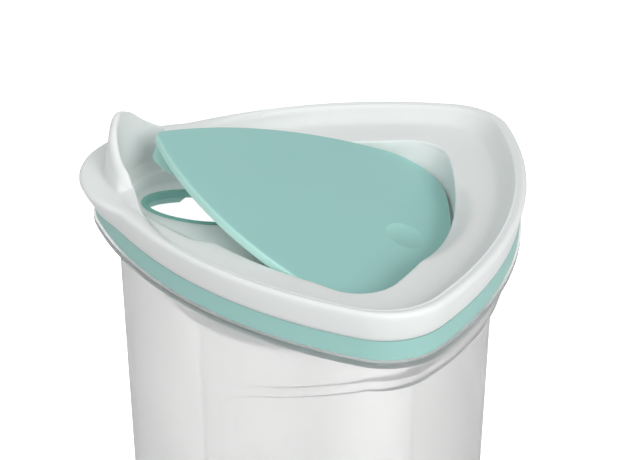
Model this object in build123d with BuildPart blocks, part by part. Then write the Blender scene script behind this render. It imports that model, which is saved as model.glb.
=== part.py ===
"""Formula dispenser: clear three-lobed container, drop-in divider, swivelling pour lid and rocker flap.

Millimetres, +Z up, origin at the centre of the base on the lid's swivel axis.
The pour spout points along -X and the object is mirror symmetric about the XZ plane.
"""
import os
from math import cos, hypot, radians, sin, sqrt, tan

from build123d import *

os.makedirs("parts", exist_ok=True)

# ---------------------------------------------------------------- driving dimensions
BODY_HEIGHT = 108.0          # base to the top face of the container's flange
LID_REACH = 52.0             # swivel axis to the corner of the lid outline
LID_MIDDLE = 40.25           # swivel axis to the middle of a side
LID_CORNER_R = 13.8
BODY_REACH = 46.5            # container outline at the flange, without the grip
BODY_MIDDLE = 37.5
BODY_CORNER_R = 14.0
BODY_DRAFT = 0.15            # degrees
WALL = 1.6
FLOOR = 2.0
FLANGE_THICK = 1.3
RABBET = 0.8                 # step in the flange that seats the mouth ring

GRIP_SHIFT = 1.7             # the gripped section is shifted towards the spout ...
GRIP_INSET = 0.70            # ... and drawn in, so that it fades out half way along each front side
LEDGE_DROP = 10.0            # flange top to the grip's upper ledge round the back
LEDGE_END_DROP = 17.9        # the same where the ledge fades out
LEDGE_BEND_X = 18.0
LEDGE_END_X = -5.5

DIVIDER_TOP = BODY_HEIGHT - 8.1
DIVIDER_FOOT = FLOOR + 0.25
VANE_THICK = 1.4
HUB_R = 3.2
FRONT_VANE_REACH = 35.5
BACK_VANE_REACH = 33.0

COLLAR_R = 35.5              # round collar of the lid
COLLAR_WALL = 1.5
COLLAR_DEPTH = 7.8
MOUTH_BORE_R = 35.57         # round bore of the mouth ring: the lid's bearing
MOUTH_RING_DEPTH = 1.8

RIDE = 0.3                   # lid underside above the flange
BAND_TOP = 4.4               # top of the coloured band
CREST = 10.7                 # top of the lid's rim
RECESS_EDGE = 6.35           # upper edge of the flap's recess
SPOUT_FLOOR = 1.7            # floor of the pour channel
SPOUT_FLOOR_UNDER = 0.35
RECESS_BACK = -4.4           # floor of the recess under the flap's wide end
FLOOR_THICK = 1.4
RAMP_FRONT_X = -8.0          # where the recess floor meets the channel floor
RAMP_BACK_X = 27.0

SPOUT_X = -31.2              # axis of the spout wall's arc
SPOUT_IN_R = 14.9
SPOUT_OUT_R = 17.2
BRIM_R = 22.8
APEX = 22.6                  # top of the spout wall

OUTLET_X = -27.6             # centre of the oval outlet
OUTLET_A = 14.0
OUTLET_B = 7.45
OUTLET_LIP = 1.85            # top of the outlet gasket

PIVOT_X = -1.35
PIVOT_Z = 3.47
PIN_R = 1.4
FLAP_TOP = 6.55              # top of the flap when shut
FLAP_THICK = 1.85
FLAP_OPEN = 17.96            # degrees the flap stands open at rest
FLAP_UNDER = FLAP_TOP - FLAP_THICK
LUG_OUT = 29.0
LUG_IN = 25.2
RECESS_GAP = 0.5

PLATE_TOP = -6.4             # closure plate inside the lid's collar
PLATE_THICK = 1.2
WINDOW_X = -8.6              # front edge of the plate between its two baffles

TOP = Plane.XY.offset(BODY_HEIGHT)


# ---------------------------------------------------------------- outlines
def level(z):
    """Horizontal plane at height z above the flange's top face."""
    return Plane.XY.offset(BODY_HEIGHT + z)


def lobed(reach, middle, corner_r):
    """Three equal corner arcs joined by three side arcs."""
    centre = reach - corner_r
    half = middle - centre / 2
    side_r = (0.75 * centre**2 + half**2 - corner_r**2) / (2 * (half - corner_r))
    return (centre, (centre / 2, centre * sqrt(0.75)), corner_r, corner_r, side_r, side_r)


LID = lobed(LID_REACH, LID_MIDDLE, LID_CORNER_R)
BODY = lobed(BODY_REACH, BODY_MIDDLE, BODY_CORNER_R)
# tip centre, back corner centre, tip radius, corner radius, side radius, back radius
FLAP = (37.55, (8.45, 17.91), 2.5, 14.2, 81.9, 65.9)
DISH = (-SPOUT_X, (19.1, 33.08), SPOUT_IN_R, 11.8, 90.0, 89.8)
CHANNEL_LOW = (32.3, (-12.0, 8.0), 10.5, 7.0, 80.0, 60.0)
CHANNEL_HIGH = (-SPOUT_X, (-20.0, 22.0), SPOUT_IN_R, 8.0, 62.0, 100.0)


def unit(x, y):
    """Unit vector along (x, y)."""
    length = hypot(x, y)
    return x / length, y / length


def arc_points(shape, grow=0.0, shift=0.0):
    """Joints and middles of the six tangent arcs of an outline, from the tip round the +Y side."""
    tip, corner, tip_r, corner_r, side_r, back_r = shape
    tx, cx, cy = -tip, corner[0], corner[1]
    reach_t, reach_c = side_r - tip_r, side_r - corner_r
    span = hypot(cx - tx, cy)
    ux, uy = (cx - tx) / span, cy / span
    along = (reach_t**2 - reach_c**2 + span**2) / (2 * span)
    across = sqrt(reach_t**2 - along**2)
    sx, sy = tx + along * ux + across * uy, along * uy - across * ux
    kx = cx - sqrt((back_r - corner_r) ** 2 - cy**2)
    to_tip = unit(tx - sx, -sy)
    to_corner = unit(cx - sx, cy - sy)
    to_back = unit(cx - kx, cy)
    half_side = unit(to_tip[0] + to_corner[0], to_tip[1] + to_corner[1])
    half_corner = unit(to_corner[0] + to_back[0], to_corner[1] + to_back[1])
    upper = [
        (tx + (tip_r + grow) * to_tip[0], (tip_r + grow) * to_tip[1]),
        (sx + (side_r + grow) * half_side[0], sy + (side_r + grow) * half_side[1]),
        (cx + (corner_r + grow) * to_corner[0], cy + (corner_r + grow) * to_corner[1]),
        (cx + (corner_r + grow) * half_corner[0], cy + (corner_r + grow) * half_corner[1]),
        (cx + (corner_r + grow) * to_back[0], cy + (corner_r + grow) * to_back[1]),
    ]
    lower = [(x, -y) for x, y in reversed(upper)]
    ring = [(tx - tip_r - grow, 0)] + upper + [(kx + back_r + grow, 0)] + lower
    return [(x + shift, y) for x, y in ring]


def outline(shape, z, grow=0.0, shift=0.0):
    """Face bounded by the six tangent arcs of an outline, at height z above the flange."""
    p = arc_points(shape, grow, shift)
    with BuildSketch(level(z)) as face:
        with BuildLine():
            ThreePointArc(p[1], p[2], p[3])
            ThreePointArc(p[3], p[4], p[5])
            ThreePointArc(p[5], p[6], p[7])
            ThreePointArc(p[7], p[8], p[9])
            ThreePointArc(p[9], p[10], p[11])
            ThreePointArc(p[11], p[0], p[1])
        make_face()
    return face.sketch


def prism(shape, low, high, grow=0.0, mode=Mode.ADD):
    """Upright prism on an outline between two heights above the flange."""
    extrude(outline(shape, low, grow), amount=high - low, mode=mode)


def frustum(lower, low, upper, high, mode=Mode.ADD):
    """Ruled loft between two outlines, each given as (shape, grow)."""
    loft([outline(lower[0], low, lower[1]), outline(upper[0], high, upper[1])], ruled=True, mode=mode)


def drum(x, radius, low, high, mode=Mode.ADD):
    """Upright cylinder on the XZ plane between two heights above the flange."""
    with BuildSketch(level(low)) as face:
        with Locations((x, 0)):
            Circle(radius)
    extrude(face.sketch, amount=high - low, mode=mode)


def drafted(shape, low, grow, shift=0.0, mode=Mode.ADD):
    """Container prism from a height up to the flange top, widening with the draft."""
    run = BODY_HEIGHT - low
    foot = outline(shape, -run, grow - run * tan(radians(BODY_DRAFT)), shift)
    extrude(foot, amount=run, taper=-BODY_DRAFT, mode=mode)


def side_slab(points, half_width, mode=Mode.ADD):
    """Slab across the object whose side view is the polygon through (x, z) points."""
    with BuildSketch(Plane.XZ) as face:
        with BuildLine():
            Polyline(*points, close=True)
        make_face()
    extrude(face.sketch, amount=half_width, both=True, mode=mode)


def below_ledge(lift):
    """Region under the grip's ledge, open to the back, raised by lift."""
    flat = BODY_HEIGHT - LEDGE_DROP + lift
    end = BODY_HEIGHT - LEDGE_END_DROP + lift
    front = LEDGE_END_X - 12
    corners = [(70, -1), (70, flat), (LEDGE_BEND_X, flat), (LEDGE_END_X, end), (front, end - 6), (front, -1)]
    side_slab(corners, 70)


# ---------------------------------------------------------------- container
with BuildPart() as grip:
    below_ledge(0.0)
    drafted(BODY, -2.0, -GRIP_INSET, -GRIP_SHIFT, Mode.SUBTRACT)

with BuildPart() as inner_grip:
    below_ledge(WALL)
    drafted(BODY, -2.0, -GRIP_INSET - WALL, -GRIP_SHIFT, Mode.SUBTRACT)

with BuildPart() as cavity:
    drafted(BODY, FLOOR, -WALL)
    add(inner_grip.part, mode=Mode.SUBTRACT)

with BuildPart() as container:
    drafted(BODY, 0.0, 0.0)
    add(grip.part, mode=Mode.SUBTRACT)
    fillet(container.edges().group_by(Axis.Z)[0], radius=2.0)
    prism(LID, -FLANGE_THICK, 0.0)
    add(cavity.part, mode=Mode.SUBTRACT)
    prism(BODY, -RABBET, 1.0, 0.05, Mode.SUBTRACT)

container.part.label = "container"
export_step(container.part, "parts/container.step")

# ---------------------------------------------------------------- divider
def vane(turn, reach):
    """One upright vane whose outer edge follows the container's draft."""
    foot = reach - (DIVIDER_TOP - DIVIDER_FOOT) * tan(radians(BODY_DRAFT))
    side = Plane(
        origin=(0, 0, 0),
        x_dir=(cos(radians(turn)), sin(radians(turn)), 0),
        z_dir=(sin(radians(turn)), -cos(radians(turn)), 0),
    )
    with BuildSketch(side) as face:
        with BuildLine():
            Polyline(
                (0, DIVIDER_FOOT),
                (foot, DIVIDER_FOOT),
                (reach, DIVIDER_TOP),
                (0, DIVIDER_TOP),
                close=True,
            )
        make_face()
    extrude(face.sketch, amount=VANE_THICK / 2, both=True)


with BuildPart() as divider:
    vane(120, FRONT_VANE_REACH)
    vane(-120, FRONT_VANE_REACH)
    vane(0, BACK_VANE_REACH)
    drum(0, HUB_R, DIVIDER_FOOT - BODY_HEIGHT, DIVIDER_TOP - BODY_HEIGHT)

divider.part.label = "divider"
export_step(divider.part, "parts/divider.step")

# ---------------------------------------------------------------- mouth ring
with BuildPart() as mouth_ring:
    prism(BODY, -MOUTH_RING_DEPTH, -RABBET, -WALL - 0.15)
    drum(0, MOUTH_BORE_R + 0.7, -MOUTH_RING_DEPTH - 1, -RABBET, Mode.SUBTRACT)
    prism(BODY, -RABBET, 0.0, -0.05)
    drum(0, MOUTH_BORE_R, -MOUTH_RING_DEPTH - 1, 1.0, Mode.SUBTRACT)
    with BuildSketch(level(-MOUTH_RING_DEPTH - 1)):
        with PolarLocations(-OUTLET_X, 3, start_angle=180):
            Ellipse(OUTLET_A + 0.6, OUTLET_B + 0.85)
    extrude(amount=MOUTH_RING_DEPTH + 2, mode=Mode.SUBTRACT)

mouth_ring.part.label = "mouth_ring"
export_step(mouth_ring.part, "parts/mouth_ring.step")

# ---------------------------------------------------------------- lid ring (coloured band)
with BuildPart() as seal_groove:
    prism(LID, 0.0, RIDE + 0.7, -2.4)
    prism(LID, 0.0, RIDE + 0.7, -3.8, Mode.SUBTRACT)

with BuildPart() as lid_ring:
    prism(LID, RIDE, BAND_TOP, -0.4)
    prism(LID, RIDE + 1.3, BAND_TOP + 1, -2.0, Mode.SUBTRACT)
    prism(LID, 0.0, BAND_TOP, -5.0, Mode.SUBTRACT)
    drum(0, COLLAR_R + 0.3, 0.0, BAND_TOP, Mode.SUBTRACT)
    add(seal_groove.part, mode=Mode.SUBTRACT)

lid_ring.part.label = "lid_ring"
export_step(lid_ring.part, "parts/lid_ring.step")

# ---------------------------------------------------------------- rim seal
with BuildPart() as rim_seal:
    prism(LID, 0.1, 0.98, -2.5)
    prism(LID, 0.1, 0.98, -3.7, Mode.SUBTRACT)

rim_seal.part.label = "rim_seal"
export_step(rim_seal.part, "parts/rim_seal.step")

# ---------------------------------------------------------------- lid cover: spaces above its skin
RAMP = (SPOUT_FLOOR - RECESS_BACK) / (RAMP_BACK_X - RAMP_FRONT_X)


def cut_below_floor(drop):
    """Remove everything under the recess floor, lowered by drop."""
    front = BODY_HEIGHT + SPOUT_FLOOR - drop
    back = BODY_HEIGHT + RECESS_BACK - drop - RAMP * 8
    side_slab(
        [(-60, front), (RAMP_FRONT_X, front), (RAMP_BACK_X + 8, back), (60, back), (60, 60), (-60, 60)],
        60,
        Mode.SUBTRACT,
    )


with BuildPart() as recess_space:
    prism(FLAP, -10.0, RECESS_EDGE, RECESS_GAP)
    cut_below_floor(0.0)

with BuildPart() as recess_tub:
    prism(FLAP, -10.0, RECESS_EDGE - 0.6, RECESS_GAP + 1.5)
    cut_below_floor(FLOOR_THICK - 0.05)

with BuildPart() as low_keep:
    drum(0, COLLAR_R, -12.0, SPOUT_FLOOR_UNDER)
    drum(0, 80.0, SPOUT_FLOOR_UNDER, 30.0)

with BuildPart() as dish_space:
    frustum((FLAP, RECESS_GAP + 1.3), RECESS_EDGE, (DISH, 0.0), CREST)
    frustum((FLAP, RECESS_GAP), RECESS_EDGE - 1.0, (FLAP, RECESS_GAP + 1.3), RECESS_EDGE)

with BuildPart() as channel_space:
    frustum((CHANNEL_LOW, 0.0), SPOUT_FLOOR, (CHANNEL_HIGH, 0.0), CREST)

with BuildPart() as spout_wall:
    drum(SPOUT_X, SPOUT_OUT_R, SPOUT_FLOOR, APEX)
    drum(SPOUT_X, SPOUT_IN_R, SPOUT_FLOOR - 1, APEX + 1, Mode.SUBTRACT)
    with BuildSketch(Plane.YZ.offset(-60)):
        with BuildLine():
            RadiusArc((-5.2, BODY_HEIGHT + APEX - 3.1), (5.2, BODY_HEIGHT + APEX - 3.1), 6.0)
            Polyline(
                (5.2, BODY_HEIGHT + APEX - 3.1),
                (11.0, BODY_HEIGHT + 14.3),
                (15.2, BODY_HEIGHT + CREST),
                (15.2, BODY_HEIGHT),
                (-15.2, BODY_HEIGHT),
                (-15.2, BODY_HEIGHT + CREST),
                (-11.0, BODY_HEIGHT + 14.3),
                (-5.2, BODY_HEIGHT + APEX - 3.1),
            )
        make_face()
    extrude(amount=60 + SPOUT_X, mode=Mode.INTERSECT)

# ---------------------------------------------------------------- lid cover
with BuildPart() as skirt:
    extrude(outline(LID, BAND_TOP, -0.2), amount=CREST - BAND_TOP, taper=-10.0)
    with BuildSketch(level(BAND_TOP)):
        with Locations((SPOUT_X, 0)):
            Circle(20.0)
    extrude(amount=CREST - BAND_TOP - 1.5, taper=-29.5)
    drum(SPOUT_X, BRIM_R, CREST - 1.6, CREST)
    prism(LID, BAND_TOP - 1, CREST - 1.6, -1.8, Mode.SUBTRACT)

with BuildPart() as register:
    prism(LID, 1.9, CREST - 0.5, -2.2)
    prism(LID, 1.8, CREST, -3.6, Mode.SUBTRACT)

bosses = [
    Plane((PIVOT_X, 29.9 * s, BODY_HEIGHT + PIVOT_Z), x_dir=(1, 0, 0), z_dir=(0, s, 0)) for s in (1, -1)
]

with BuildPart() as cover_skin:
    frustum((FLAP, RECESS_GAP + 1.8), RECESS_EDGE - 1.5, (LID, -1.0), CREST)
    add(recess_tub.part)
    frustum((CHANNEL_LOW, 1.5), SPOUT_FLOOR_UNDER, (CHANNEL_HIGH, 1.5), CREST)
    add(low_keep.part, mode=Mode.INTERSECT)

with BuildPart() as collar:
    drum(0, COLLAR_R, -COLLAR_DEPTH, CREST - 1.0)
    drum(0, COLLAR_R - COLLAR_WALL, -COLLAR_DEPTH - 1, CREST, Mode.SUBTRACT)

scoop_foot = BODY_HEIGHT + 3.4
scoop_backing = [
    (24.0, scoop_foot - 1.6),
    (27.2, scoop_foot - 1.6),
    (33.0, scoop_foot + 2.8),
    (33.0, scoop_foot + 5),
    (24.0, scoop_foot + 5),
]
scoop = [
    (24.0, scoop_foot),
    (26.5, scoop_foot),
    (31.5, scoop_foot + 3.8),
    (31.5, scoop_foot + 9),
    (24.0, scoop_foot + 9),
]

with BuildPart() as lid_cover:
    add(cover_skin.part)
    add(collar.part)
    add(skirt.part)
    add(register.part)
    for boss in bosses:
        with BuildSketch(boss):
            Circle(3.2)
        extrude(amount=3.4)
    # backing under the thumb scoop
    side_slab(scoop_backing, 15.1)
    add(dish_space.part, mode=Mode.SUBTRACT)
    add(recess_space.part, mode=Mode.SUBTRACT)
    add(channel_space.part, mode=Mode.SUBTRACT)
    add(spout_wall.part)
    # oval outlet, and the slot it needs through the collar
    with BuildSketch(level(-COLLAR_DEPTH - 1)):
        with Locations((OUTLET_X, 0)):
            Ellipse(OUTLET_A - 0.35, OUTLET_B - 0.3)
    extrude(amount=COLLAR_DEPTH + 4, mode=Mode.SUBTRACT)
    with BuildSketch(level(-COLLAR_DEPTH - 1)):
        with Locations((-COLLAR_R, 0)):
            Rectangle(14, 19)
    extrude(amount=COLLAR_DEPTH + 1 + SPOUT_FLOOR_UNDER, mode=Mode.SUBTRACT)
    # thumb scoop behind the flap's wide end
    side_slab(scoop, 13.5, Mode.SUBTRACT)
    # pin bores
    for boss in bosses:
        with BuildSketch(boss.offset(-1.0)):
            Circle(PIN_R + 0.05)
        extrude(amount=3.1, mode=Mode.SUBTRACT)

lid_cover.part.label = "lid_cover"
export_step(lid_cover.part, "parts/lid_cover.step")

# ---------------------------------------------------------------- closure plate
with BuildPart() as closure_plate:
    drum(0, COLLAR_R - COLLAR_WALL - 0.1, PLATE_TOP - PLATE_THICK, PLATE_TOP)
    # window over the compartment in use
    with BuildSketch(level(PLATE_TOP - PLATE_THICK - 1)) as window:
        with BuildLine():
            Polyline(
                (WINDOW_X, -WINDOW_X * tan(radians(60))),
                (-60.0, 60.0 * tan(radians(60))),
                (-60.0, -60.0 * tan(radians(60))),
                (WINDOW_X, WINDOW_X * tan(radians(60))),
                close=True,
            )
        make_face()
    extrude(window.sketch, amount=PLATE_THICK + 2, mode=Mode.SUBTRACT)
    # baffles that shut the window off from the space under the recess
    with BuildSketch(level(PLATE_TOP - 0.1)) as baffles:
        with Locations((WINDOW_X + 0.6, 0)):
            Rectangle(1.2, -2 * WINDOW_X * tan(radians(60)) + 1.2)
        for turn in (120, -120):
            with Locations(Rotation(0, 0, turn) * Location((COLLAR_R / 2 + 7.6, 0, 0))):
                Rectangle(COLLAR_R - COLLAR_WALL - 17.0, 1.2)
    extrude(baffles.sketch, amount=-PLATE_TOP + 0.1, mode=Mode.ADD)
    drum(0, 60, 0.1, 10, Mode.SUBTRACT)

closure_plate.part.label = "closure_plate"
export_step(closure_plate.part, "parts/closure_plate.step")

# ---------------------------------------------------------------- outlet gasket


def oval(grow, low, high, mode=Mode.ADD):
    """Upright oval prism on the outlet's axis."""
    with BuildSketch(level(low)) as face:
        with Locations((OUTLET_X, 0)):
            Ellipse(OUTLET_A + grow, OUTLET_B + grow)
    extrude(face.sketch, amount=high - low, mode=mode)


with BuildPart() as outlet_gasket:
    oval(-0.4, SPOUT_FLOOR_UNDER, OUTLET_LIP)
    oval(0.0, SPOUT_FLOOR, OUTLET_LIP)
    oval(-1.1, SPOUT_FLOOR_UNDER - 1, OUTLET_LIP + 1, Mode.SUBTRACT)

outlet_gasket.part.label = "outlet_gasket"
export_step(outlet_gasket.part, "parts/outlet_gasket.step")

# ---------------------------------------------------------------- flap, plug and pins, shut
HINGE = Axis((PIVOT_X, 0, BODY_HEIGHT + PIVOT_Z), (0, 1, 0))


def cross_rod(radius, inner, outer, mode=Mode.ADD):
    """Pair of cylinders on the hinge axis, one on each side."""
    for side in (1, -1):
        foot = Plane((PIVOT_X, side * inner, BODY_HEIGHT + PIVOT_Z), x_dir=(1, 0, 0), z_dir=(0, side, 0))
        with BuildSketch(foot) as face:
            Circle(radius)
        extrude(face.sketch, amount=outer - inner, mode=mode)


with BuildPart() as flap:
    prism(FLAP, FLAP_UNDER, FLAP_TOP)
    fillet(flap.edges().group_by(Axis.Z)[-1], radius=0.5)
    # hollow for the thumb
    with Locations((16.6, 0, BODY_HEIGHT + FLAP_TOP + 11.2)):
        Sphere(12.0, mode=Mode.SUBTRACT)
    # lugs round the pins
    cross_rod(2.5, LUG_IN, LUG_OUT)
    for side in (1, -1):
        with Locations((PIVOT_X, side * (LUG_IN + LUG_OUT) / 2, BODY_HEIGHT + PIVOT_Z + 0.9)):
            Box(4.4, LUG_OUT - LUG_IN, 1.8)
    cross_rod(PIN_R, LUG_IN - 1, LUG_OUT + 1, Mode.SUBTRACT)
    # boss that holds the plug
    oval(-4.2, FLAP_UNDER - 1.6, FLAP_UNDER)

with BuildPart() as flap_plug:
    oval(-2.0, OUTLET_LIP - 0.8, FLAP_UNDER)
    oval(-4.2, FLAP_UNDER - 1.6, FLAP_UNDER + 1, Mode.SUBTRACT)
    oval(-4.2, OUTLET_LIP - 1.8, FLAP_UNDER - 2.6, Mode.SUBTRACT)

with BuildPart() as hinge_pins:
    cross_rod(PIN_R, LUG_IN + 0.2, 31.6)

# the rest pose has the flap open
flap_open = flap.part.rotate(HINGE, FLAP_OPEN)
flap_open.label = "flap"
export_step(flap_open, "parts/flap.step")

plug_open = flap_plug.part.rotate(HINGE, FLAP_OPEN)
plug_open.label = "flap_plug"
export_step(plug_open, "parts/flap_plug.step")

pins_open = hinge_pins.part.rotate(HINGE, FLAP_OPEN)
pins_open.label = "hinge_pins"
export_step(pins_open, "parts/hinge_pins.step")
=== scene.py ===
"""Looks of the formula dispenser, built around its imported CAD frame.

Metres, +Z up, spout towards -X. The lid's rings are worked out in millimetres above the flange.
"""
import math

import bmesh
import bpy
import numpy as np
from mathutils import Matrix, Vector


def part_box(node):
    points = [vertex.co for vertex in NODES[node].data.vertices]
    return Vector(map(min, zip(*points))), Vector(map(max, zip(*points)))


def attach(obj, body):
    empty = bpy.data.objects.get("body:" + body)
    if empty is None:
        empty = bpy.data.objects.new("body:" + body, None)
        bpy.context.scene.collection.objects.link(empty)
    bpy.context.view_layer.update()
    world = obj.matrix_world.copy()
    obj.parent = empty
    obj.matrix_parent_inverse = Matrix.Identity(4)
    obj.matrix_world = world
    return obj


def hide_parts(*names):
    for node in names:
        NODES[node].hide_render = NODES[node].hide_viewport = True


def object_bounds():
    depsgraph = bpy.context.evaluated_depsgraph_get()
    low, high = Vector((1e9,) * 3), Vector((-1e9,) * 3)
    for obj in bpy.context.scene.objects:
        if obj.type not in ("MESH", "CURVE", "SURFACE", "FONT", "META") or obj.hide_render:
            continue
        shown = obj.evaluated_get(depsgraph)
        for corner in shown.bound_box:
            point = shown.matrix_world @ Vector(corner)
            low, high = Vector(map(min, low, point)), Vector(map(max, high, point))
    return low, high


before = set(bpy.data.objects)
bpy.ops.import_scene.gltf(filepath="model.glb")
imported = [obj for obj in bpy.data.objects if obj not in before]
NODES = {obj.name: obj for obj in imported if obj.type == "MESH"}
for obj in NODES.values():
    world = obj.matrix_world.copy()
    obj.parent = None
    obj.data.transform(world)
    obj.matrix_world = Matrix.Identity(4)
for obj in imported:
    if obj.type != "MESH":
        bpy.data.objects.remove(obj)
CAD_LOW, CAD_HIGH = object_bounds()
SCENE = bpy.context.scene


# ---------------------------------------------------------------- materials
NOISE_SPAN = (0.3, 0.7)                        # where nearly all of a noise's values lie
GRAIN_SCALE = 2600                             # spark-eroded grain of the mould
GRAIN_DEPTH = 0.00002


def new_material(name):
    """Empty node material with a Principled shader, returned with its tree and shader."""
    material = bpy.data.materials.new(name)
    material.use_nodes = True
    tree = material.node_tree
    tree.nodes.clear()
    shader = tree.nodes.new("ShaderNodeBsdfPrincipled")
    output = tree.nodes.new("ShaderNodeOutputMaterial")
    tree.links.new(shader.outputs["BSDF"], output.inputs["Surface"])
    return material, tree, shader


def noise(tree, scale, detail=3.0, stretch=(1, 1, 1)):
    """Noise texture over the object's own coordinates."""
    coords = tree.nodes.new("ShaderNodeTexCoord")
    mapping = tree.nodes.new("ShaderNodeMapping")
    mapping.inputs["Scale"].default_value = stretch
    texture = tree.nodes.new("ShaderNodeTexNoise")
    texture.inputs["Scale"].default_value = scale
    texture.inputs["Detail"].default_value = detail
    tree.links.new(coords.outputs["Object"], mapping.inputs["Vector"])
    tree.links.new(mapping.outputs["Vector"], texture.inputs["Vector"])
    return texture.outputs["Fac"]


def ramp(tree, source, low, high):
    """Colour ramp between two colours over the span of a noise."""
    node = tree.nodes.new("ShaderNodeValToRGB")
    for element, position, colour in zip(node.color_ramp.elements, NOISE_SPAN, (low, high)):
        element.position = position
        element.color = (*colour, 1)
    tree.links.new(source, node.inputs["Fac"])
    return node.outputs["Color"]


def spread(tree, source, low, high):
    """A noise's span remapped to low..high."""
    node = tree.nodes.new("ShaderNodeMapRange")
    node.inputs["From Min"].default_value = NOISE_SPAN[0]
    node.inputs["From Max"].default_value = NOISE_SPAN[1]
    node.inputs["To Min"].default_value = low
    node.inputs["To Max"].default_value = high
    tree.links.new(source, node.inputs["Value"])
    return node.outputs["Result"]


def add_bump(tree, shader, height, distance, strength):
    """Bump from a height value into the shader's normal."""
    node = tree.nodes.new("ShaderNodeBump")
    node.inputs["Distance"].default_value = distance
    node.inputs["Strength"].default_value = strength
    tree.links.new(height, node.inputs["Height"])
    tree.links.new(node.outputs["Normal"], shader.inputs["Normal"])


def painted_side_light(tree, colour, edge):
    """Painted light: colour on flat faces that turns to another, painted on upright ones to stand in for
    light falling on the sides, by the object's own normals.
    """
    coords = tree.nodes.new("ShaderNodeTexCoord")
    split = tree.nodes.new("ShaderNodeSeparateXYZ")
    blend = tree.nodes.new("ShaderNodeMix")
    blend.data_type = "RGBA"
    weight = tree.nodes.new("ShaderNodeMapRange")
    weight.inputs["From Min"].default_value = 0.55
    weight.inputs["From Max"].default_value = 0.9
    # the painted light colour, given to the upright faces
    blend.inputs["A"].default_value = (*edge, 1)
    tree.links.new(coords.outputs["Normal"], split.inputs["Vector"])
    tree.links.new(split.outputs["Z"], weight.inputs["Value"])
    tree.links.new(weight.outputs["Result"], blend.inputs["Factor"])
    tree.links.new(colour, blend.inputs["B"])
    return blend.outputs["Result"]


def moulded(name, colour, rough, subsurface=0.0, edge=None):
    """Moulded plastic: faint colour drift, fine spark-eroded grain, soft uneven gloss; with edge, that colour
    is painted on upright faces as painted light.
    """
    material, tree, shader = new_material(name)
    low = tuple(c * 0.97 for c in colour)
    high = tuple(min(1.0, c * 1.02) for c in colour)
    tint = ramp(tree, noise(tree, 18, 2), low, high)
    # painted light: upright faces take the edge colour
    if edge:
        tint = painted_side_light(tree, tint, edge)
    tree.links.new(tint, shader.inputs["Base Color"])
    gloss = spread(tree, noise(tree, 140, 4), rough - 0.04, rough + 0.05)
    tree.links.new(gloss, shader.inputs["Roughness"])
    add_bump(tree, shader, noise(tree, GRAIN_SCALE, 2), GRAIN_DEPTH, 0.35)
    shader.inputs["Subsurface Weight"].default_value = subsurface
    shader.inputs["Subsurface Radius"].default_value = (0.004, 0.004, 0.004)
    shader.inputs["Subsurface Scale"].default_value = 0.9
    return material


def clear_plastic(name, colour, rough, transmission, ior, density):
    """Clear moulded plastic: faint haze and drift, a polished outer skin, grey where it is seen thick."""
    material, tree, shader = new_material(name)
    low = tuple(c * 0.98 for c in colour)
    tint = ramp(tree, noise(tree, 9, 2, (1, 1, 0.3)), low, colour)
    tree.links.new(tint, shader.inputs["Base Color"])
    haze = spread(tree, noise(tree, 60, 3), rough * 0.9, rough * 1.1)
    tree.links.new(haze, shader.inputs["Roughness"])
    shader.inputs["Transmission Weight"].default_value = transmission
    shader.inputs["IOR"].default_value = ior
    shader.inputs["Coat Weight"].default_value = 0.5
    shader.inputs["Coat Roughness"].default_value = 0.04
    absorb = tree.nodes.new("ShaderNodeVolumeAbsorption")
    absorb.inputs["Color"].default_value = (0.1, 0.1, 0.14, 1)
    absorb.inputs["Density"].default_value = density
    output = next(node for node in tree.nodes if node.type == "OUTPUT_MATERIAL")
    tree.links.new(absorb.outputs["Volume"], output.inputs["Volume"])
    return material


WHITE = moulded("white_plastic", (0.84, 0.875, 0.865), 0.5, subsurface=0.4)
TEAL = moulded("teal_plastic", (0.34, 0.61, 0.57), 0.4, subsurface=0.2)
# the flap's upright sides are painted a lighter mint: painted light on its edges
TEAL_FLAP = moulded(
    "teal_flap", (0.335, 0.61, 0.575), 0.42, subsurface=0.3, edge=(0.52, 0.86, 0.78)
)
TEAL_SOFT = moulded("teal_soft", (0.22, 0.50, 0.44), 0.6)
WHITE_SOFT = moulded("white_soft", (0.70, 0.73, 0.73), 0.6)
PIN = moulded("pin_plastic", (0.7, 0.72, 0.7), 0.4)
CLEAR = clear_plastic("clear_body", (0.985, 0.985, 0.98), 0.34, 0.94, 1.46, 12)
INSERT = clear_plastic("clear_insert", (0.99, 0.99, 0.99), 0.34, 0.98, 1.08, 2)
PLUG = moulded("teal_plug", (0.40, 0.70, 0.64), 0.55, subsurface=0.2)

FINISH = {
    "container": CLEAR,
    "divider": INSERT,
    "mouth_ring": TEAL,
    "lid_ring": TEAL,
    "rim_seal": WHITE_SOFT,
    "lid_cover": WHITE,
    "closure_plate": WHITE,
    "outlet_gasket": TEAL_SOFT,
    "flap": TEAL_FLAP,
    "flap_plug": PLUG,
    "hinge_pins": PIN,
}
for name, material in FINISH.items():
    NODES[name].data.materials.clear()
    NODES[name].data.materials.append(material)


# ---------------------------------------------------------------- lid cover: one continuous moulded skin
MM = 0.001
FLANGE_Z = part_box("container")[1].z / MM       # top face of the container's flange

# heights above the flange's top face, in mm
SKIRT_LOW = 4.4
SKIRT_LEVELS = (9.0, 8.2, 7.2, 6.2, 5.3, SKIRT_LOW + 0.3, SKIRT_LOW)
CREST = 10.7                                   # crest all round the lid
EDGE = 6.35                                    # edge of the flap's recess
EDGE_ROUND = 0.6                               # height of that edge's rounding
STEP_Z = 4.5                                   # small step in the pour channel's wall
CHANNEL_Z = 1.7                                # floor of the pour channel
RECESS_BACK = -4.4                             # floor of the recess at its back
WALL_FOOT = 0.4                                # below this the recess wall is upright
APEX = 22.2                                    # top of the spout wall
COLLAR_FOOT = -7.8

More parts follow.
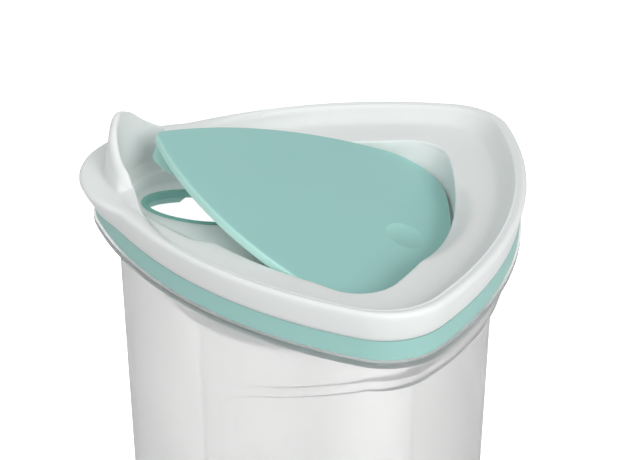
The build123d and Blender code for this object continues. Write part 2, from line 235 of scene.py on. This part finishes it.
# lengths in plan, in mm
POLE = -24.0                                   # all rings turn about this x on the centre line
COUNT = 480                                    # points in a ring
SPOUT_X = -31.2                                # centre of the spout wall and of the brim round it
FIN_IN = 14.0                                  # spout wall's inner and outer radius
FIN_OUT = 16.8
BRIM_LOW = 20.0                                # brim's radius at its foot and at its top
BRIM_HIGH = 22.65
RIM_R = 0.8                                    # rounding of the crest's outer edge
SKIRT_INSET = 0.45                             # skirt's foot inside the lid's outline
SKIRT_WALL = 2.0
FLARE = 0.17                                   # outward lean of the skirt
SHEET = 1.2                                    # thickness of the lid's moulded sheet
OUTLET = (-27.6, 13.7, 7.2)                    # centre x, half length, half width
COLLAR_OUT = 35.5
COLLAR_IN = 34.0
COLLAR_GAP = 20.0                              # half width of the gap under the spout
COLLAR_EDGE = 0.3                              # chamfer of the collar's foot


def six_arcs(tip, corner, tip_r, corner_r, side_r, back_r, grow=0.0):
    """Half, from the tip to the back, of an outline of six tangent arcs symmetric about y = 0."""
    tip_at = np.array([-tip, 0.0])
    corner_at = np.array(corner, float)
    span = corner_at - tip_at
    length = np.hypot(*span)
    along = ((side_r - tip_r) ** 2 - (side_r - corner_r) ** 2 + length**2) / (2 * length)
    across = math.sqrt((side_r - tip_r) ** 2 - along**2)
    unit = span / length
    side_at = tip_at + along * unit + across * np.array([unit[1], -unit[0]])
    back_at = np.array([corner_at[0] - math.sqrt((back_r - corner_r) ** 2 - corner_at[1] ** 2), 0.0])

    def arc(centre, radius, a, b):
        turn = np.linspace(a, b, 400)
        return centre + (radius + grow) * np.stack([np.cos(turn), np.sin(turn)], 1)

    def bearing(v):
        return math.atan2(v[1], v[0])

    tip_end = bearing(tip_at - side_at)
    corner_start = bearing(corner_at - side_at)
    corner_end = bearing(corner_at - back_at)
    return np.concatenate(
        [
            arc(tip_at, tip_r, math.pi, tip_end),
            arc(side_at, side_r, tip_end, corner_start),
            arc(corner_at, corner_r, corner_start, corner_end),
            arc(back_at, back_r, corner_end, 0.0),
        ]
    )


def lobed(reach, middle, corner_r):
    """Outline numbers of a rounded triangle with bowed sides."""
    centre = reach - corner_r
    half = middle - centre / 2
    side_r = (0.75 * centre**2 + half**2 - corner_r**2) / (2 * (half - corner_r))
    return centre, (centre / 2, centre * math.sqrt(0.75)), corner_r, corner_r, side_r, side_r


def folded(turns):
    """Turns past half a circle mirrored back onto the first half."""
    return np.where(turns > math.pi, 2 * math.pi - turns, turns)


TURN = np.linspace(0, 2 * math.pi, COUNT, endpoint=False)     # 0 towards the spout
FOLDED = folded(TURN)
DEG = np.degrees(FOLDED)


def about_pole(half, pole=POLE, turn=FOLDED):
    """Distance from the pole to a half outline, for each turn."""
    bearing = np.arctan2(half[:, 1], pole - half[:, 0])
    reach = np.hypot(half[:, 0] - pole, half[:, 1])
    order = np.argsort(bearing)
    return np.interp(turn, bearing[order], reach[order])


def circle_about_pole(radius):
    """The same for a circle about the spout's centre, which holds the pole."""
    offset = POLE - SPOUT_X
    under_root = np.maximum(radius**2 - (offset * np.sin(TURN)) ** 2, 0.01)
    return offset * np.cos(TURN) + np.sqrt(under_root)


def soft_max(a, b, width):
    """Larger of two values, rounded where they cross."""
    return 0.5 * (a + b + np.sqrt((a - b) ** 2 + width**2))


def smooth(value, low, high):
    """0 below low, 1 above high, an S between."""
    t = np.clip((value - low) / (high - low), 0, 1)
    return t * t * (3 - 2 * t)


def mix(a, b, t):
    """Straight blend from a, at t = 0, to b, at t = 1."""
    return a + (b - a) * t


def place(reach, z):
    """Ring of points at the given distances from the pole; z may be a number, an array or a function of x."""
    x = POLE - reach * np.cos(TURN)
    y = reach * np.sin(TURN)
    if callable(z):
        z = z(x)
    return np.stack([x, y, np.broadcast_to(z, x.shape)], 1)


LID_SHAPE = lobed(52.0, 40.25, 13.8)
LID = about_pole(six_arcs(*LID_SHAPE))
FLAP_SHAPE = six_arcs(37.55, (8.45, 17.91), 2.5, 14.2, 81.9, 65.9, grow=0.35)
FLAP_EDGE = about_pole(FLAP_SHAPE)
RECESS_SHAPE = six_arcs(35.0, (12.3, 25.2), 4.0, 9.0, 120.0, 82.0)
RECESS = soft_max(about_pole(RECESS_SHAPE), FLAP_EDGE + 0.1, 0.2)
CHANNEL_LOW = about_pole(six_arcs(32.3, (-12.0, 8.0), 10.5, 7.0, 80.0, 60.0))
CHANNEL_HIGH = about_pole(six_arcs(-SPOUT_X, (-20.0, 22.0), 14.9, 8.0, 62.0, 100.0))
# width of the crest, from beside the spout round to the far corners
INSET = mix(6.3, 1.5, smooth(DEG, 30, 98)) + 0.5 * smooth(DEG, 98, 120)
INNER = mix(circle_about_pole(FIN_IN), LID - INSET, smooth(DEG, 32, 40))     # crest's inner edge
INNER_Z = mix(11.0, 10.1, smooth(DEG, 36, 62)) + 0.45 * smooth(DEG, 75, 110)


def floor_z(x, drop=0.0):
    """Floor of the pour channel, falling towards the back as the recess's ramp."""
    slope = (CHANNEL_Z - RECESS_BACK) / 35.0
    past = 0.5 * (x + 8 + np.sqrt((x + 8) ** 2 + 9))
    return CHANNEL_Z - drop - slope * past


def channel(z):
    """Pour channel's wall at a height, with a small step a third of the way up."""
    t = np.clip((z - CHANNEL_Z) / (CREST - CHANNEL_Z), 0, 1)
    step = 0.55 * smooth(z, STEP_Z, STEP_Z + 0.2) - 0.25
    return mix(CHANNEL_LOW, CHANNEL_HIGH, t) + step * smooth(DEG, 100, 60)


def inside(outer, z):
    """Wall of the hollow at a height: recess or dish joined to the channel, held inside the crest."""
    joined = soft_max(outer, channel(z), 0.9)
    return np.minimum(joined, INNER - 0.02 * (CREST - np.minimum(z, CREST)))


def recess_wall(z):
    """Recess wall, leaning out from the flap's outline to the recess edge."""
    lean = np.clip((z - WALL_FOOT) / (EDGE - EDGE_ROUND - WALL_FOOT), 0, 1)
    return mix(FLAP_EDGE, np.maximum(RECESS - 0.3, FLAP_EDGE), lean)


# rings of the dish, from the recess's edge to the crest, closest where it bends
DISH_PARTS = (0.03, 0.08, 0.16, 0.25, 0.35, 0.45, 0.54, 0.61, 0.66, 0.7, 0.74, 0.78, 0.83, 0.88, 0.94, 1.0)


def dish_rise(part):
    """Height of the dish from the recess edge, 0, to the crest, 1: nearly flat, then a steep slope."""
    past = (part - 0.72) / 0.28
    slope = 0.5 * (past + math.sqrt(past * past + 0.03))
    return 0.22 * part + 0.78 * slope / (0.5 * (1 + math.sqrt(1.03)))


def scooped(ring, drop=0.0):
    """Ring lowered into the thumb scoop behind the flap's wide end."""
    x, y, z = ring.T
    bed = 6.6 - drop + 5.2 * (((x - 18.0) / 12.1) ** 2 + (y / 21.8) ** 2 - 1)
    low = 0.5 * (z + bed - np.sqrt((z - bed) ** 2 + 0.06))
    ring[:, 2] = mix(z, np.minimum(z, low), smooth(x, 20.0, 22.5))
    return ring


def hollow_rings():
    """Rings from the floor's edge up to the crest's inner edge."""
    rings = []
    foot_z = floor_z(POLE - FLAP_EDGE * np.cos(TURN)) + 1.0
    base = inside(FLAP_EDGE, foot_z)
    # round between floor and wall
    for inset, rise in ((1.0, 0.0), (0.62, 0.12), (0.25, 0.38), (0.05, 0.72)):
        rings.append(place(base - inset, lambda x: floor_z(x, -rise)))
    for part in (0.0, 0.3, 0.6, 0.85, 1.0):
        z = mix(foot_z, STEP_Z, part)
        rings.append(place(inside(recess_wall(z), z), z))
    wall_top = EDGE - EDGE_ROUND
    for z in (STEP_Z + 0.1, STEP_Z + 0.2, 5.3, wall_top):
        rings.append(place(inside(recess_wall(z), z), z))
    for part in (0.35, 0.65, 0.87, 1.0):
        z = mix(wall_top, EDGE, part)
        outer = RECESS - 0.3 * math.sqrt(1 - part * part)
        rings.append(place(inside(outer, z), z))
    for part in DISH_PARTS:
        z = EDGE + (INNER_Z - 0.1 - EDGE) * dish_rise(part)
        outer = mix(RECESS, INNER, part)
        rings.append(place(inside(outer, z), z))
    return [scooped(ring) for ring in rings]


def skirt_line(z):
    """Outline of the skirt at a height, away from the spout."""
    return LID - SKIRT_INSET + FLARE * (z - SKIRT_LOW)


def with_brim(radius, straight):
    """Outline that is a circle round the spout and the given line elsewhere."""
    line = soft_max(circle_about_pole(radius), straight, 0.8)
    return mix(line, straight, smooth(DEG, 66, 80))


def spout_top():
    """Height of the spout wall's top: a peak with shoulders, level with the crest at its ends and beyond."""
    across = np.abs(INNER * np.sin(TURN))
    peak = APEX + 1.7 - 0.86 * np.sqrt(across**2 + 4.5) + 0.6 * np.exp(-(((across - 5.0) / 2.2) ** 2))
    ends = np.maximum(smooth(across, 10.5, 12.3), smooth(DEG, 39, 45))
    return mix(soft_max(peak, INNER_Z, 0.5), INNER_Z, ends)


def spout_foot():
    """Foot of the spout wall's outer face, and beyond the spout a line part way across the crest."""
    foot = soft_max(circle_about_pole(FIN_OUT), LID - 2.75, 0.5)
    foot = mix(foot, INNER + 0.45 * (CREST_LINE - INNER), smooth(DEG, 80, 96))
    return np.maximum(foot, INNER + 0.3)


CREST_LINE = skirt_line(CREST - RIM_R)
BRIM_LINE = with_brim(BRIM_HIGH, CREST_LINE)
TOP_Z = spout_top()
HIGH = np.clip((TOP_Z - INNER_Z) / 2.5, 0, 1)  # 1 on the spout wall, 0 where there is only the crest
LEAN = 0.15 * HIGH
THICK = mix(np.minimum(0.35 * (spout_foot() - INNER), 0.6), 1.8, HIGH)
OUTER_TOP = INNER + LEAN + THICK
OUTER_FOOT = np.maximum(spout_foot(), OUTER_TOP + 0.5)
FOOT_Z = mix(mix(INNER_Z, CREST, 0.5), 9.75, 1 - smooth(DEG, 44, 70))


def spout_rings():
    """Rings up the spout wall's inner face, over its rounded top and down its outer face."""
    rings = []
    for part in (0.2, 0.45, 0.7, 0.9):
        rings.append(place(INNER + LEAN * part, mix(INNER_Z - 0.1, TOP_Z - 0.5, part * HIGH)))
    for angle in np.linspace(0, math.pi, 7):
        across = 0.5 - 0.5 * math.cos(angle)
        lift = math.sin(angle)
        z = mix(INNER_Z - 0.1 + 0.1 * lift, TOP_Z - 0.5 + 0.5 * lift - 1.1 * across**2, HIGH)
        rings.append(place(INNER + LEAN + THICK * across, z))
    top_z = mix(INNER_Z - 0.1, TOP_Z - 1.6, HIGH)
    for part in (0.15, 0.35, 0.55, 0.75, 0.9, 0.97):
        reach = mix(OUTER_TOP, OUTER_FOOT - 0.25 * HIGH, part)
        rings.append(place(reach, mix(top_z, FOOT_Z + 0.1 * HIGH, part)))
    return rings


def crest_rings():
    """Rings from the spout wall's foot over the crest and the brim to their rounded rim."""
    rings = []
    rim_in = np.maximum(BRIM_LINE - RIM_R, OUTER_FOOT + 0.05)
    for part in (0.05, 0.15, 0.3, 0.45, 0.6, 0.75, 0.88, 1.0):
        reach = mix(OUTER_FOOT, rim_in, part)
        rings.append(place(reach, mix(FOOT_Z, CREST, 1 - (1 - part) ** 1.8)))
    for angle in (25.0, 50.0, 75.0, 100.0):
        out = math.sin(math.radians(min(angle, 90.0)))
        down = 1 - math.cos(math.radians(angle))
        rings.append(place(mix(rim_in, BRIM_LINE, out), CREST - RIM_R * down))
    return rings


def skirt_rings():
    """Rings down the skirt, which flares up into the brim at the spout."""
    rings = []
    for z in SKIRT_LEVELS:
        brim_r = mix(BRIM_LOW - 0.3, BRIM_HIGH, smooth(z, 3.0, 10.6))
        rounding = 0.25 if z == SKIRT_LOW else 0.0
        rings.append(place(with_brim(brim_r, skirt_line(z)) - rounding, z))
    return rings


def outlet_about_pole():
    """Distance from the pole to the outlet's oval, for each turn."""
    offset = POLE - OUTLET[0]
    a, b = OUTLET[1:]
    c, s = np.cos(TURN), np.sin(TURN)
    qa = (c / a) ** 2 + (s / b) ** 2
    qb = -2 * c * offset / a**2
    qc = (offset / a) ** 2 - 1
    return (-qb + np.sqrt(qb**2 - 4 * qa * qc)) / (2 * qa)


def in_bore(ring):
    """Ring whose points below the flange's top face are drawn inside the collar's radius."""
    radius = np.hypot(ring[:, 0], ring[:, 1])
    low = ring[:, 2] < WALL_FOOT + 0.15
    scale = np.where(low, np.minimum(1.0, (COLLAR_OUT - 0.1) / radius), 1.0)
    ring[:, :2] *= scale[:, None]
    return ring


def underside_rings(mouth, floor_edge):
    """Rings under the lid, from the skirt's foot inwards to the outlet."""
    rings = []
    skirt_in = LID - SKIRT_WALL
    for z in (SKIRT_LOW, 7.0, 9.0):
        rings.append(place(skirt_in, z))
    roof = np.minimum(INNER + SHEET, skirt_in - 0.3)
    rings.append(place(roof, 9.2))
    # under the dish, then down the outside of the recess to its floor
    for part in (0.9, 0.7, 0.5, 0.3, 0.1):
        z = EDGE + (INNER_Z - 0.15 - EDGE) * dish_rise(part) - 1.3
        outer = mix(RECESS, INNER, part)
        ring = place(np.minimum(inside(outer, z + 1.3) + 0.8, roof - 0.1 * (1 - part)), z)
        rings.append(scooped(ring, SHEET))
    foot_z = floor_z(POLE - RECESS * np.cos(TURN))
    for level in (4.4, 2.4, 0.5, -2.0, RECESS_BACK):
        z = np.maximum(foot_z - 0.6, level)
        reach = inside(recess_wall(z + 0.8), z + 0.8) + SHEET
        rings.append(in_bore(scooped(place(np.minimum(reach, roof - 0.6), z), SHEET)))
    for part in (1.0, 0.75, 0.5, 0.25, 0.0):
        rings.append(place(mix(mouth + 0.2, floor_edge + 0.3, part), lambda x: floor_z(x, 1.35)))
    rings.append(place(mouth, lambda x: floor_z(x, SHEET)))
    return rings


def lid_shell():
    """All rings of the lid, from the outlet outwards on top and back to it underneath."""
    hollow = hollow_rings()
    floor_edge = np.hypot(hollow[0][:, 0] - POLE, hollow[0][:, 1])
    mouth = outlet_about_pole()
    rings = [place(mouth, lambda x: floor_z(x, 0.25))]
    for part in (0.0, 0.02, 0.08, 0.17, 0.28, 0.4, 0.52, 0.64, 0.76, 0.88):
        rings.append(place(mix(mouth + 0.25, floor_edge, part), floor_z))
    rings += hollow + spout_rings() + crest_rings() + skirt_rings()
    rings += underside_rings(mouth, floor_edge)
    return rings


def collar_sections():
    """Cross-sections of the round collar, from one side of the spout gap round to the other."""
    start = math.asin(COLLAR_GAP / COLLAR_OUT)
    turns = np.linspace(start, 2 * math.pi - start, 241)
    # the collar stays clear of the flap's recess, and its top goes under the recess where that is wide
    edge = about_pole(FLAP_SHAPE, 0.0, folded(turns))
    inner = np.maximum(COLLAR_IN, edge + 0.3)
    covered = smooth(about_pole(RECESS_SHAPE, 0.0, folded(turns)), 32.5, 33.5)
    sections = []
    for turn, inside_r, under in zip(turns, inner, covered):
        direction = np.array([-math.cos(turn), math.sin(turn)])
        x = direction[0] * COLLAR_OUT
        top = mix(1.0 + 3.6 * smooth(x, -8.0, 8.0), floor_z(x, 0.7), under)
        profile = [
            (COLLAR_OUT - COLLAR_EDGE, COLLAR_FOOT),
            (COLLAR_OUT, COLLAR_FOOT + COLLAR_EDGE),
            (COLLAR_OUT, top),
            (inside_r, top),
            (inside_r, COLLAR_FOOT + COLLAR_EDGE),
            (inside_r + COLLAR_EDGE, COLLAR_FOOT),
        ]
        sections.append(np.array([(*(direction * r), z) for r, z in profile]))
    return sections


def loft(name, rings, closed=True):
    """Quad mesh through closed rings of equal length.

    closed joins the last ring to the first; otherwise a face closes each end.
    """
    count = len(rings[0])
    total = len(rings)
    points = np.concatenate(rings) * MM
    points[:, 2] += FLANGE_Z * MM
    faces = []
    for i in range(total if closed else total - 1):
        a = i * count
        b = ((i + 1) % total) * count
        for k in range(count):
            after = (k + 1) % count
            faces.append((a + k, a + after, b + after, b + k))
    mesh = bpy.data.meshes.new(name)
    mesh.from_pydata(points.tolist(), [], faces)
    bm = bmesh.new()
    bm.from_mesh(mesh)
    bmesh.ops.remove_doubles(bm, verts=bm.verts, dist=0.00001)
    bmesh.ops.dissolve_degenerate(bm, edges=bm.edges, dist=0.000005)
    if not closed:
        bmesh.ops.holes_fill(bm, edges=bm.edges)
    bmesh.ops.recalc_face_normals(bm, faces=bm.faces)
    bm.to_mesh(mesh)
    bm.free()
    mesh.shade_smooth()
    item = bpy.data.objects.new(name, mesh)
    SCENE.collection.objects.link(item)
    return item


cover = loft("lid_cover_skin", lid_shell())
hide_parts("lid_cover")
collar = loft("lid_collar", collar_sections(), closed=False)
collar.data.shade_flat()
for moulding in (cover, collar):
    moulding.data.materials.append(WHITE)
    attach(moulding, "lid")


# ---------------------------------------------------------------- stage
LIT_CENTRE = Vector((0, 0, 0.09))
FLOOR_REACH = 6.0
FLOOR_GAP = 0.0005                             # keeps the floor off the base's face
FLOOR_GLOW = 0.25                              # light the floor gives; it looks white whatever it gives
WORLD_GLOW = 0.39


def area_light(name, location, size, energy):
    """Round soft light aimed at the lid."""
    light = bpy.data.lights.new(name, "AREA")
    light.shape = "DISK"
    light.size = size
    light.energy = energy
    item = bpy.data.objects.new(name, light)
    item.location = location
    item.rotation_mode = "QUATERNION"
    item.rotation_quaternion = (LIT_CENTRE - Vector(location)).to_track_quat("-Z", "Y")
    SCENE.collection.objects.link(item)


def glow(tree, given):
    """Strength that is 1 where seen directly or through clear plastic, and given elsewhere."""
    path = tree.nodes.new("ShaderNodeLightPath")
    seen = tree.nodes.new("ShaderNodeMath")
    seen.operation = "MAXIMUM"
    strength = tree.nodes.new("ShaderNodeMapRange")
    strength.inputs["To Min"].default_value = given
    strength.inputs["To Max"].default_value = 1.0
    tree.links.new(path.outputs["Is Camera Ray"], seen.inputs[0])
    tree.links.new(path.outputs["Is Transmission Ray"], seen.inputs[1])
    tree.links.new(seen.outputs["Value"], strength.inputs["Value"])
    return strength.outputs["Result"]


floor_mesh = bpy.data.meshes.new("floor")
corners = [(x * FLOOR_REACH, y * FLOOR_REACH, 0) for x, y in ((-1, -1), (1, -1), (1, 1), (-1, 1))]
floor_mesh.from_pydata(corners, [], [(0, 1, 2, 3)])
floor = bpy.data.objects.new("floor", floor_mesh)
floor.location.z = CAD_LOW.z - FLOOR_GAP
SCENE.collection.objects.link(floor)
floor_material, floor_tree, floor_shader = new_material("floor")
floor_shader.inputs["Base Color"].default_value = (0.5, 0.5, 0.5, 1)
floor_shader.inputs["Emission Color"].default_value = (1, 1, 1, 1)
floor_shader.inputs["Roughness"].default_value = 0.9
floor_tree.links.new(glow(floor_tree, FLOOR_GLOW), floor_shader.inputs["Emission Strength"])
floor_mesh.materials.append(floor_material)

world = bpy.data.worlds.new("studio")
world.use_nodes = True
sky = world.node_tree.nodes["Background"]
sky.inputs["Color"].default_value = (1, 1, 1, 1)
world.node_tree.links.new(glow(world.node_tree, WORLD_GLOW), sky.inputs["Strength"])
SCENE.world = world

area_light("key", (0.70, -0.70, 0.64), 0.6, 6.7)
area_light("front", (-0.3, -0.45, 0.95), 0.9, 3.2)

SCENE.view_settings.view_transform = "Standard"

# ---------------------------------------------------------------- camera
camera_data = bpy.data.cameras.new("camera")
camera_data.sensor_width = 36
camera_data.lens = 89.45
camera_data.clip_start = 0.01
camera_data.clip_end = 50
camera = bpy.data.objects.new("camera", camera_data)
camera.location = (0.0686, -0.2792, 0.2677)
camera.rotation_mode = "QUATERNION"
camera.rotation_quaternion = Vector((-0.2186, 0.8462, -0.4859)).to_track_quat("-Z", "Y")
SCENE.collection.objects.link(camera)
SCENE.camera = camera
